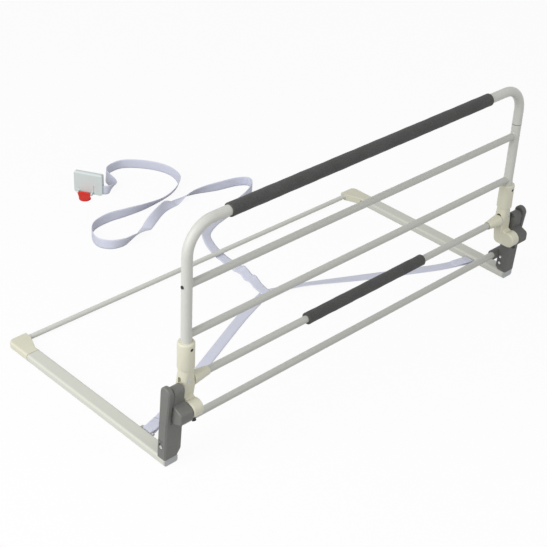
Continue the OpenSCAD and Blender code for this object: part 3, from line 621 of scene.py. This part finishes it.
# Corner connectors, in mm: the web that fills each inner angle, and a brown band of painted shade in the seam
# to the rail

WEB_OUTLINE = [(536, 229), (531, 229), (528, 233), (516.5, 262), (514.3, 267), (514.3, 279), (536, 279)]
WEB_Z, WEB_EDGE = (0.3, 17.97), 1.6
SEAM_SHADE_Y, SEAM_SHADE_IN, SEAM_SHADE_R, SEAM_SHADE_POINTS = (215.1, 216.1), 0.5, 2.4, 24
SEAM_SHADE_HOLE_W, SEAM_SHADE_HOLE_H = 0.9, 0.85
RAIL_X, RAIL_W, RAIL_H = 545, 34, 18


def corner_webs(name):
    mesh = bmesh.new()
    for side in (-1, 1):
        skin(mesh, [[mesh.verts.new((side * x * MM, y * MM, z * MM)) for x, y in WEB_OUTLINE] for z in WEB_Z],
             smooth=False)
    soften(new_piece(name, finished(mesh, name), "base", "cream"), WEB_EDGE)


# A thin brown frame in the seam, standing for the shade in the gap: painted shade.
def corner_seam_shades(name):
    half_w, half_h = RAIL_W / 2 - SEAM_SHADE_IN - SEAM_SHADE_R, RAIL_H / 2 - SEAM_SHADE_IN - SEAM_SHADE_R
    outline = []
    for i in range(SEAM_SHADE_POINTS):
        a = 2 * math.pi * (i + 0.5) / SEAM_SHADE_POINTS
        c, s = math.cos(a), math.sin(a)
        outline.append((math.copysign(half_w, c) + SEAM_SHADE_R * c, math.copysign(half_h, s) + SEAM_SHADE_R * s))
    mesh = bmesh.new()
    for side in (-1, 1):
        front, back = SEAM_SHADE_Y
        skin(mesh, [[mesh.verts.new((side * (RAIL_X + x * w) * MM, y * MM, (RAIL_H / 2 + z * h) * MM))
                     for x, z in outline]
                    for y, w, h in ((front, 1, 1), (back, 1, 1), (back, SEAM_SHADE_HOLE_W, SEAM_SHADE_HOLE_H),
                                    (front, SEAM_SHADE_HOLE_W, SEAM_SHADE_HOLE_H))], closed=True, smooth=False)
    new_piece(name, finished(mesh, name), "base", "cream", finish="seam_shade")


# Release springs: coils between the shank and the foot of the post. The real ones are squeezed as the bar
# lifts; these keep their shape.

SPRING_R, SPRING_WIRE, SPRING_TURNS, SPRING_KEEP = 5 * MM, 0.7 * MM, 4, 0.447
SPRING_STEPS, SPRING_SIDES = 24, 8


def release_spring(name, node):
    low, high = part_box(node)
    x, y = (low.x + high.x) / 2, (low.y + high.y) / 2
    rise = high.z - low.z - 2 * SPRING_WIRE
    steps = SPRING_STEPS * SPRING_TURNS
    mesh = bmesh.new()
    rings = []
    for i in range(steps + 1):
        a = 2 * math.pi * SPRING_TURNS * i / steps
        out = Vector((math.cos(a), math.sin(a), 0))
        middle = Vector((x, y, low.z + SPRING_WIRE + rise * i / steps)) + out * SPRING_R
        rings.append([mesh.verts.new(middle + SPRING_WIRE * (out * math.cos(b) + UP * math.sin(b)))
                      for b in around(SPRING_SIDES)])
    skin(mesh, rings)
    piece = new_piece(name, finished(mesh, name), "fence", "steel", node)
    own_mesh(piece)


# Floor and light. The camera looks through the floor at the white world, so that what folds below it shows

FLOOR_HALF, FLOOR_DROP = 12, 0.5 * MM
FLOOR_CLEAR, FLOOR_SEEN, FLOOR_BOUNCE, WORLD_LIGHT = 0.93, 0.9, 0.45, 0.45
SEEING_RAYS = ("Is Camera Ray", "Is Glossy Ray", "Is Transmission Ray")


def ray_kinds(tree, *kinds):
    """1 for rays of any of these kinds, otherwise 0."""
    path = add_node(tree, "ShaderNodeLightPath")
    last = path.outputs[kinds[0]]
    for kind in kinds[1:]:
        either = add_node(tree, "ShaderNodeMath", operation="MAXIMUM")
        tree.links.new(last, either.inputs[0])
        tree.links.new(path.outputs[kind], either.inputs[1])
        last = either.outputs[0]
    return last


def by_ray(tree, kinds, otherwise, value):
    """A value for rays of these kinds, and another one for all the rest."""
    node = add_node(tree, "ShaderNodeMapRange", **{"To Min": otherwise, "To Max": value})
    tree.links.new(ray_kinds(tree, *kinds), node.inputs["Value"])
    return node.outputs["Result"]


def make_floor():
    mesh = bpy.data.meshes.new("floor")
    mesh.from_pydata([(x * FLOOR_HALF, y * FLOOR_HALF, 0) for x, y in ((-1, -1), (1, -1), (1, 1), (-1, 1))],
                     [], [(0, 1, 2, 3)])
    floor = bpy.data.objects.new("floor", mesh)
    floor.location.z = -FLOOR_DROP
    bpy.context.scene.collection.objects.link(floor)
    material = bpy.data.materials.new("floor")
    material.use_nodes = True
    tree = material.node_tree
    tree.nodes.remove(tree.nodes["Principled BSDF"])
    cast = add_node(tree, "ShaderNodeBsdfDiffuse")
    tree.links.new(by_ray(tree, ("Is Camera Ray",), FLOOR_BOUNCE, FLOOR_SEEN), cast.inputs["Color"])
    clear = add_node(tree, "ShaderNodeBsdfTransparent")
    mix = add_node(tree, "ShaderNodeMixShader")
    tree.links.new(by_ray(tree, (*SEEING_RAYS, "Is Shadow Ray"), 0, FLOOR_CLEAR), mix.inputs[0])
    tree.links.new(cast.outputs[0], mix.inputs[1])
    tree.links.new(clear.outputs[0], mix.inputs[2])
    tree.links.new(mix.outputs[0], tree.nodes["Material Output"].inputs["Surface"])
    mesh.materials.append(material)


def area_light(name, place, aim, size, power):
    data = bpy.data.lights.new(name, "AREA")
    data.size, data.energy = size, power
    light = bpy.data.objects.new(name, data)
    light.location = place
    light.rotation_euler = (Vector(aim) - Vector(place)).to_track_quat("-Z", "Y").to_euler()
    bpy.context.scene.collection.objects.link(light)


def make_light():
    world = bpy.data.worlds.new("studio")
    world.use_nodes = True
    tree = world.node_tree
    background = tree.nodes["Background"]
    background.inputs["Color"].default_value = (1, 1, 1, 1)
    tree.links.new(by_ray(tree, SEEING_RAYS, WORLD_LIGHT, 1), background.inputs["Strength"])
    bpy.context.scene.world = world
    area_light("key", place=(-2.8, 0.05, 1.75), aim=(-0.4, 0, 0.2), size=2.4, power=68)
    area_light("fill", place=(0.4, -3.2, 1.9), aim=(0, 0, 0.25), size=2.4, power=26)
    bpy.context.scene.view_settings.view_transform = "Standard"


make_camera()
materials = make_materials()
make_strap()
foam_sleeve("long_grip_foam", "long_grip", "fence", POST_R)
foam_sleeve("release_grip_foam", "release_grip", "release", BAR_R)
dress_nodes()
weld_beads("upper_bar_welds", "upper_bar")
weld_beads("lower_bar_welds", "lower_bar")
post_seam_shade("post_right_seam_shade")
release_spring("release_spring_left_coil", "release_spring_left")
release_spring("release_spring_right_coil", "release_spring_right")
corner_webs("corner_webs")
corner_seam_shades("corner_seam_shades")
make_floor()
make_light()
